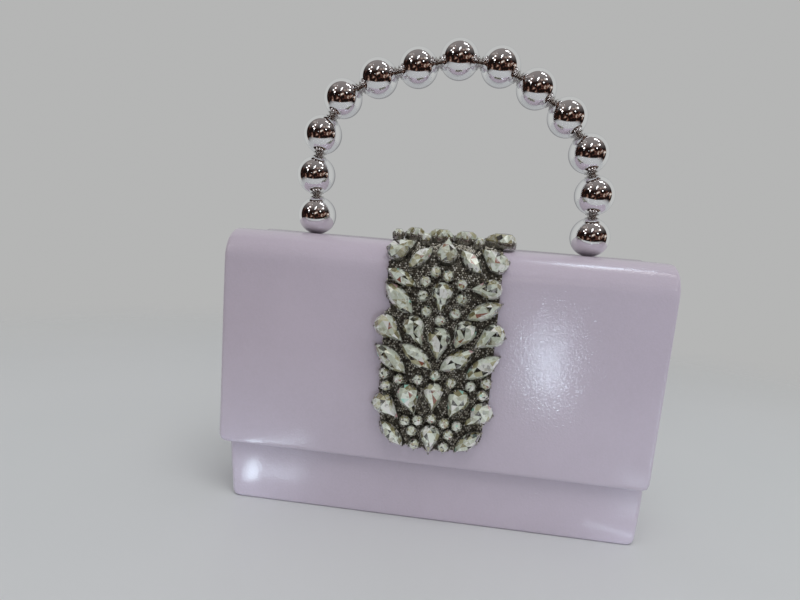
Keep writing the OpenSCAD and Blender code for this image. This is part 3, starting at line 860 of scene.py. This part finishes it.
# ---- applique
def islands(name):
    """Points of each separate solid of a CAD node, with its triangles' area vectors."""
    mesh = nodes[name].data
    co = np.zeros(len(mesh.vertices) * 3)
    mesh.vertices.foreach_get("co", co)
    co = co.reshape(-1, 3) * 1000
    _, same = np.unique(np.round(co, 3), axis=0, return_inverse=True)
    same = same.reshape(-1)
    parent = list(range(same.max() + 1))

    def root(i):
        while parent[i] != i:
            parent[i] = parent[parent[i]]
            i = parent[i]
        return i

    mesh.calc_loop_triangles()
    triangles = [tuple(t.vertices) for t in mesh.loop_triangles]
    for t in triangles:
        r = root(same[t[0]])
        for v in t[1:]:
            parent[root(same[v])] = r
    groups = {}
    for t in triangles:
        groups.setdefault(root(same[t[0]]), []).append(t)
    for group in groups.values():
        idx = sorted({v for t in group for v in t})
        tri = co[np.array(group)]
        cross = np.cross(tri[:, 1] - tri[:, 0], tri[:, 2] - tri[:, 0]) / 2
        yield co[idx], cross


NO_AREA = 1e-9
SAME_WAY = 0.9999  # cosine above which two faces count as one flat face


def seats(name, pointed):
    """Where each stone of a CAD node sits: centre on its base plane, outward and long directions, length, width."""
    found = []
    for points, cross in islands(name):
        area = np.linalg.norm(cross, axis=1)
        cross, area = cross[area > NO_AREA], area[area > NO_AREA]
        unit = cross / area[:, None]
        middle = points.mean(axis=0)
        rough = np.array([0, min(0.0, middle[1] - ROLL_Y), max(0.0, middle[2] - ROLL_Z)])
        rough /= np.linalg.norm(rough)
        flat_faces = [(area[(unit @ n) > SAME_WAY].sum(), n) for n in unit[np.argsort(-area)[:12]]]
        normal = max(flat_faces, key=lambda f: f[0] if abs(f[1] @ rough) > 0.8 else 0)[1]
        normal = normal if normal @ rough > 0 else -normal
        x = np.array([1.0, 0, 0])
        y = np.cross(normal, x)
        flat_points = np.stack([points @ x, points @ y], 1)
        base = (points @ normal).min()
        if pointed:
            centre = (flat_points.max(0) + flat_points.min(0)) / 2
            far = flat_points[np.argmax(np.linalg.norm(flat_points - centre, axis=1))]
            other = flat_points[np.argmax(np.linalg.norm(flat_points - far, axis=1))]
            axis = (far - other) / np.linalg.norm(far - other)
            if pointed == "tip":
                from_tip = np.linalg.norm(flat_points - far, axis=1)
                body_points = flat_points[from_tip > 0.45 * np.linalg.norm(far - other)]
                axis = far - (body_points.max(0) + body_points.min(0)) / 2
                axis /= np.linalg.norm(axis)
        else:
            axis = np.array([1.0, 0])
        across = np.array([-axis[1], axis[0]])
        a, c = flat_points @ axis, flat_points @ across
        centre = axis * (a.max() + a.min()) / 2 + across * (c.max() + c.min()) / 2
        found.append({"at": x * centre[0] + y * centre[1] + normal * base, "out": normal,
                      "along": x * axis[0] + y * axis[1], "across": x * across[0] + y * across[1],
                      "length": a.max() - a.min(), "width": c.max() - c.min()})
    return sorted(found, key=lambda f: (round(f["at"][2], 2), round(f["at"][0], 2)))


def outline(kind, length, width, n):
    """n points round a stone's outline from its tip, as (along, across)."""
    if kind == "round":
        pts = [(length / 2 * math.cos(a), width / 2 * math.sin(a)) for a in np.linspace(0, 2 * math.pi, 97)]
    elif kind == "navette":
        r = (length ** 2 + width ** 2) / 4 / width
        half = math.asin(length / 2 / r)
        pts = [(r * math.sin(a), width / 2 - r + r * math.cos(a)) for a in np.linspace(half, -half, 50)]
        pts += [(-p[0], -p[1]) for p in pts[1:]]
    else:
        r = width / 2
        cx = r - length / 2
        side = math.acos(r / (length - r))
        arc = [(cx + r * math.cos(a), r * math.sin(a)) for a in np.linspace(side, 2 * math.pi - side, 80)]
        pts = [(length / 2, 0.0)] + arc + [(length / 2, 0.0)]
    pts = np.array(pts)
    run = np.concatenate([[0], np.cumsum(np.linalg.norm(np.diff(pts, axis=0), axis=1))])
    where = np.linspace(0, run[-1], n + 1)[:-1]
    return np.stack([np.interp(where, run, pts[:, k]) for k in (0, 1)], 1)


def put(seat, flat, height):
    return seat["at"] + seat["along"] * flat[0] + seat["across"] * flat[1] + seat["out"] * height


# Tones of facets: each is a place on the stones' ramp of painted facet reflections
PALE, KHAKI, OLIVE, DARK = (0.1, 0.28), (0.43,), (0.55,), (0.65,)
RED, WHITE, TEAL, PINK = (0.74,), (0.85,), (0.93,), (0.98,)


def pick(*choices):
    """One tone, from (share, tones) pairs."""
    at, total = rng.uniform(0, sum(c[0] for c in choices)), 0.0
    for share, tones in choices:
        total += share
        if at <= total:
            return tones[int(rng.integers(len(tones)))]
    return PALE[0]


def stone(build, seat, kind, table_h, girdle_h):
    """Cut stone: crown facets round a table, over a pointed pavilion. The table is cut into patches, each
    coloured with a painted reflection of the foil behind it."""
    n = 16
    rim = outline(kind, seat["length"] - 0.5, seat["width"] - 0.5, n)
    core = np.array([0.0, 0.0])
    if kind == "teardrop":
        core = np.array([seat["width"] / 2 - seat["length"] / 2, 0.0]) * 0.62

    def ring(scale, height, step=1, start=0):
        return [put(seat, core + (rim[i % n] - core) * scale, height) for i in range(start, n + start, step)]

    girdle_top, girdle_low = ring(1.0, girdle_h + 0.15), ring(0.97, girdle_h - 0.25)
    mid = ring(0.82, girdle_h + (table_h - girdle_h) * 0.6, 2)
    table = ring(0.60, table_h, 2, 1)
    low = ring(0.56, girdle_h - (girdle_h - 0.75) * 0.55, 2, 1)
    culet = ring(0.1, 0.7, 2, 1)
    off = rng.uniform(-0.22, 0.22, 2) * (seat["length"] / 2, seat["width"] / 2)
    hub = [put(seat, core + off, table_h)]
    verts = girdle_top + girdle_low + mid + table + low + culet + hub
    gt, gl, mi, ta, lo, cu, hu = 0, n, 2 * n, 2 * n + 8, 2 * n + 16, 2 * n + 24, 2 * n + 32
    faces, tones = [], []
    turn = int(rng.integers(8))
    # Painted reflections: the table's patches and the crown facets pick their tones at random from the painted
    # reflection ramp
    patch = [pick((0.8, PALE), (0.2, WHITE))] * 3 + [pick((0.5, DARK), (0.2, KHAKI), (0.3, RED))]
    patch += [pick((0.8, PALE), (0.2, OLIVE))] * 2 + [pick((0.35, RED), (0.3, DARK), (0.2, OLIVE), (0.15, TEAL))]
    patch += [pick((0.6, PALE), (0.4, WHITE))]
    for j in range(8):
        k, nxt, prev = 2 * j, (j + 1) % 8, (j - 1) % 8
        faces += [(ta + prev, mi + j, ta + j), (mi + j, gt + k + 1, ta + j), (gt + k + 1, mi + nxt, ta + j),
                  (mi + j, gt + k, gt + k + 1), (mi + j, gt + (k - 1) % n, gt + k)]
        main = pick((0.35, PALE), (0.22, KHAKI), (0.2, OLIVE), (0.12, DARK), (0.11, WHITE))
        tones += [pick((0.6, PALE), (0.25, OLIVE), (0.15, WHITE)), main, main]
        tones += [pick((0.42, PALE), (0.26, KHAKI), (0.18, DARK), (0.08, WHITE), (0.03, TEAL), (0.03, PINK))
                  for _ in range(2)]
        faces += [(gt + i, gl + i, gl + (i + 1) % n, gt + (i + 1) % n) for i in (k, k + 1)]
        faces += [(gl + k, lo + j, gl + k + 1), (gl + k + 1, lo + j, gl + (k + 2) % n),
                  (gl + (k + 2) % n, lo + j, lo + nxt), (lo + j, cu + j, cu + nxt), (lo + j, cu + nxt, lo + nxt),
                  (ta + j, ta + nxt, hu)]
        tones += [KHAKI[0]] * 7 + [patch[(j + turn) % 8]]
    faces.append(tuple(cu + j for j in range(7, -1, -1)))
    tones.append(KHAKI[0])
    build.add(verts, faces, tones)


def cup(build, seat, kind, girdle_h, prongs):
    """Setting: a thin gallery wall that follows the stone, with claws bent over its girdle."""
    n = 32
    rim = outline(kind, seat["length"], seat["width"], n)
    core = rim.mean(axis=0)

    def ring(inset, height):
        return [put(seat, core + v * (1 - inset / np.linalg.norm(v)), height) for v in rim - core]

    rings = [ring(0.5, 0.0), ring(0.3, 0.8), ring(0.25, 1.9), ring(0.3, girdle_h - 0.5), ring(0.42, girdle_h - 0.3),
             ring(0.7, girdle_h - 0.45), ring(0.8, 1.6), ring(1.1, 0.6)]
    verts, faces = loft(rings, close_ends=False)
    verts += [put(seat, core, 0.45), put(seat, core, 0.0)]
    last, centre = 7 * n, 8 * n
    faces += [(last + i, last + (i + 1) % n, centre) for i in range(n)]
    faces += [((i + 1) % n, i, centre + 1) for i in range(n)]
    build.add(verts, faces)
    fine = outline(kind, seat["length"], seat["width"], 96)
    for share in prongs:
        p = fine[int(round(share * 96)) % 96]
        out = (p - core) / np.linalg.norm(p - core)
        side = np.array([-out[1], out[0]])
        rings = []
        for reach, height, r in ((-0.1, 0.6, 0.32), (0.1, girdle_h - 1.0, 0.36), (0.08, girdle_h + 0.2, 0.4),
                                 (-0.3, girdle_h + 0.75, 0.38), (-0.75, girdle_h + 1.0, 0.3),
                                 (-0.95, girdle_h + 0.98, 0.12)):
            c = p + out * reach
            tilt = 1.0 if height < girdle_h + 0.5 else 0.35
            rings.append([put(seat, c + side * (r * 1.15 * math.cos(q)) + out * (r * 0.75 * math.sin(q) * tilt),
                              height + r * 0.75 * math.sin(q) * (1 - tilt)) for q in circle(8)])
        build.add(*loft(rings))


# Settings node, stones node, how to find the long direction, table and girdle heights, claws' places
KINDS = {
    "round": ("round_settings", "round_stones", None, 5.4, 3.2, [(k + 0.5) / 6 for k in range(6)]),
    "navette": ("navette_settings", "navette_stones", "ends", 6.9, 3.3, [0, 0.5, 0.17, 0.33, 0.67, 0.83]),
    "teardrop": ("teardrop_settings", "teardrop_stones", "tip", 7.0, 3.3, [0, 0.2, 0.4, 0.6, 0.8]),
}
all_seats = []
for kind, (cups_node, stones_node, pointed, table_h, girdle_h, prongs) in KINDS.items():
    cups, gems = Build(), Build()
    for seat in seats(cups_node, pointed):
        seat["kind"] = kind
        all_seats.append(seat)
        small = min(1.0, seat["width"] / 7.0) if kind != "round" else 1.0
        cup(cups, seat, kind, girdle_h, prongs)
        stone(gems, seat, kind, girdle_h + (table_h - girdle_h) * (0.7 + 0.3 * small), girdle_h)
    cups.piece(kind + "_claw_settings", CLAW, "claw_metal", "flap", (cups_node,))
    gems.piece(kind + "_cut_stones", CUT_GLASS, "crystal", "flap", (stones_node,), smooth=False)

# Mesh base: thin dark backing set with seed stones wherever a setting is near
mesh_low, mesh_high = box_mm("applique_mesh")
MESH_HALF = mesh_high[0]
MESH_S0 = mesh_low[2]
MESH_S1 = ROLL_END + mesh_high[1] - ROLL_Y
outlines = []
for seat in all_seats:
    edge = outline(seat["kind"], seat["length"], seat["width"], 24)
    world_edge = np.array([put(seat, p, 0) for p in edge])
    s_of = [p[2] if p[2] <= ROLL_Z else ROLL_Z + ROLL_R * math.atan2(p[2] - ROLL_Z, ROLL_Y - p[1])
            for p in world_edge]
    outlines.append(np.stack([world_edge[:, 0], s_of], 1))

FINE = 0.4  # pitch of the map of how far each place is from the nearest setting
FAR_OFF = 99.0
fine_x = np.arange(-MESH_HALF - 7, MESH_HALF + 7, FINE)
fine_s = np.arange(MESH_S0 - 7, MESH_S1 + 4, FINE)
gx, gs = np.meshgrid(fine_x, fine_s, indexing="ij")
stone_gap = np.full(gx.shape, FAR_OFF)
for pts in outlines:
    nxt = np.roll(pts, -1, axis=0)
    inside = np.zeros(gx.shape, bool)
    nearest = np.full(gx.shape, FAR_OFF)
    for p, q in zip(pts, nxt):
        e = q - p
        t = np.clip(((gx - p[0]) * e[0] + (gs - p[1]) * e[1]) / (e @ e), 0, 1)
        nearest = np.minimum(nearest, np.hypot(gx - p[0] - e[0] * t, gs - p[1] - e[1] * t))
        if p[1] != q[1]:
            inside ^= ((p[1] > gs) != (q[1] > gs)) & (gx < e[0] * (gs - p[1]) / e[1] + p[0])
    stone_gap = np.minimum(stone_gap, np.where(inside, -nearest, nearest))


def grown(mask, reach):
    """Mask spread by reach mm in every direction."""
    n = int(reach / FINE)
    wide = np.zeros(mask.shape, bool)
    padded = np.pad(mask, n)
    for i in range(-n, n + 1):
        for j in range(-n, n + 1):
            if i * i + j * j <= n * n:
                wide |= padded[n + i:n + i + mask.shape[0], n + j:n + j + mask.shape[1]]
    return wide


# The mesh fills the gaps between settings and ends just outside the outer ones
GAP_FILL, DRAW_BACK = 3.6, 3.0
covered = ~grown(~grown(stone_gap < 0, GAP_FILL), DRAW_BACK)
border = np.zeros(covered.shape, bool)
border[0] = border[-1] = border[:, 0] = True
outside = border
for _ in range(max(covered.shape) * 2):
    outside = (grown(outside, FINE * 1.01) & ~covered) | border
covered = ~outside


def lookup(table, x, s):
    i, j = int(round((x - fine_x[0]) / FINE)), int(round((s - fine_s[0]) / FINE))
    return table[min(max(i, 0), table.shape[0] - 1), min(max(j, 0), table.shape[1] - 1)]


CELL, MARGIN = 0.8, 3
BACKING_TOP, BACKING_FOOT = 0.75, 0.1
cols = int(2 * (MESH_HALF + MARGIN) / CELL)
rows = int((MESH_S1 - MESH_S0 + MARGIN) / CELL)
grid_x = np.linspace(-MESH_HALF - MARGIN, MESH_HALF + MARGIN, cols + 1)
grid_s = np.linspace(MESH_S0 - MARGIN, MESH_S1, rows + 1)
keep = {(i, j) for i in range(cols) for j in range(rows)
        if lookup(covered, (grid_x[i] + grid_x[i + 1]) / 2, (grid_s[j] + grid_s[j + 1]) / 2)}
b = Build()
verts, faces = [], []
index = {}


def corner_at(i, j, top):
    key = (i, j, top)
    if key not in index:
        index[key] = len(verts)
        verts.append(flap_point(grid_x[i], grid_s[j], BACKING_TOP if top else BACKING_FOOT))
    return index[key]


for i, j in sorted(keep):
    quad = [(i, j), (i + 1, j), (i + 1, j + 1), (i, j + 1)]
    faces.append([corner_at(*q, True) for q in quad])
    faces.append([corner_at(*q, False) for q in quad][::-1])
    for (di, dj), (p, q) in (((0, -1), (0, 1)), ((1, 0), (1, 2)), ((0, 1), (2, 3)), ((-1, 0), (3, 0))):
        if (i + di, j + dj) not in keep:
            faces.append([corner_at(*quad[p], True), corner_at(*quad[p], False),
                          corner_at(*quad[q], False), corner_at(*quad[q], True)])
BACKING_TONE = 0.2
b.add(verts, faces, [BACKING_TONE] * len(faces))

# Seeds: small icosahedra in staggered rows
phi = (1 + 5 ** 0.5) / 2
ICO = np.array([(-1, phi, 0), (1, phi, 0), (-1, -phi, 0), (1, -phi, 0), (0, -1, phi), (0, 1, phi),
                (0, -1, -phi), (0, 1, -phi), (phi, 0, -1), (phi, 0, 1), (-phi, 0, -1), (-phi, 0, 1)])
ICO /= math.hypot(1, phi)
ICO_FACES = [(0, 11, 5), (0, 5, 1), (0, 1, 7), (0, 7, 10), (0, 10, 11), (1, 5, 9), (5, 11, 4), (11, 10, 2),
             (10, 7, 6), (7, 1, 8), (3, 9, 4), (3, 4, 2), (3, 2, 6), (3, 6, 8), (3, 8, 9), (4, 9, 5),
             (2, 4, 11), (6, 2, 10), (8, 6, 7), (9, 8, 1)]
PITCH, SEED_HEIGHT = 1.15, 0.95
for row, s in enumerate(np.arange(MESH_S0 - 2.5, MESH_S1 - 0.4, PITCH * 0.87)):
    for x in np.arange(-MESH_HALF - MARGIN, MESH_HALF + MARGIN, PITCH) + (row % 2) * PITCH / 2:
        dx, ds = rng.uniform(-0.12, 0.12), rng.uniform(-0.12, 0.12)
        # Random tone for each seed; the highest tones come out as painted glints
        size, tone = rng.uniform(0.42, 0.6), rng.uniform(0.001, 1)
        if lookup(covered, x, s) and lookup(stone_gap, x, s) > -0.6:
            c = flap_point(x + dx, s + ds, SEED_HEIGHT)
            b.add(c + ICO * size, ICO_FACES, [tone] * len(ICO_FACES))
b.piece("applique_seed_mesh", SEEDS, "gunmetal", "flap", ("applique_mesh",), smooth=False)

# ---- CAD nodes that stay
for names, surface in ((("hinge_strip",), HEM),
                       (("snap_socket", "snap_socket_washer", "snap_stud", "snap_stud_washer"), NICKEL),
                       (("handle_wire", "handle_washers", "handle_nuts"), STEEL)):
    for name in names:
        nodes[name].data.materials.clear()
        nodes[name].data.materials.append(surface)

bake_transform(fold)

for piece in (flap, shell):
    leather_only.objects.link(piece)

bpy.context.view_layer.update()
low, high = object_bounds()
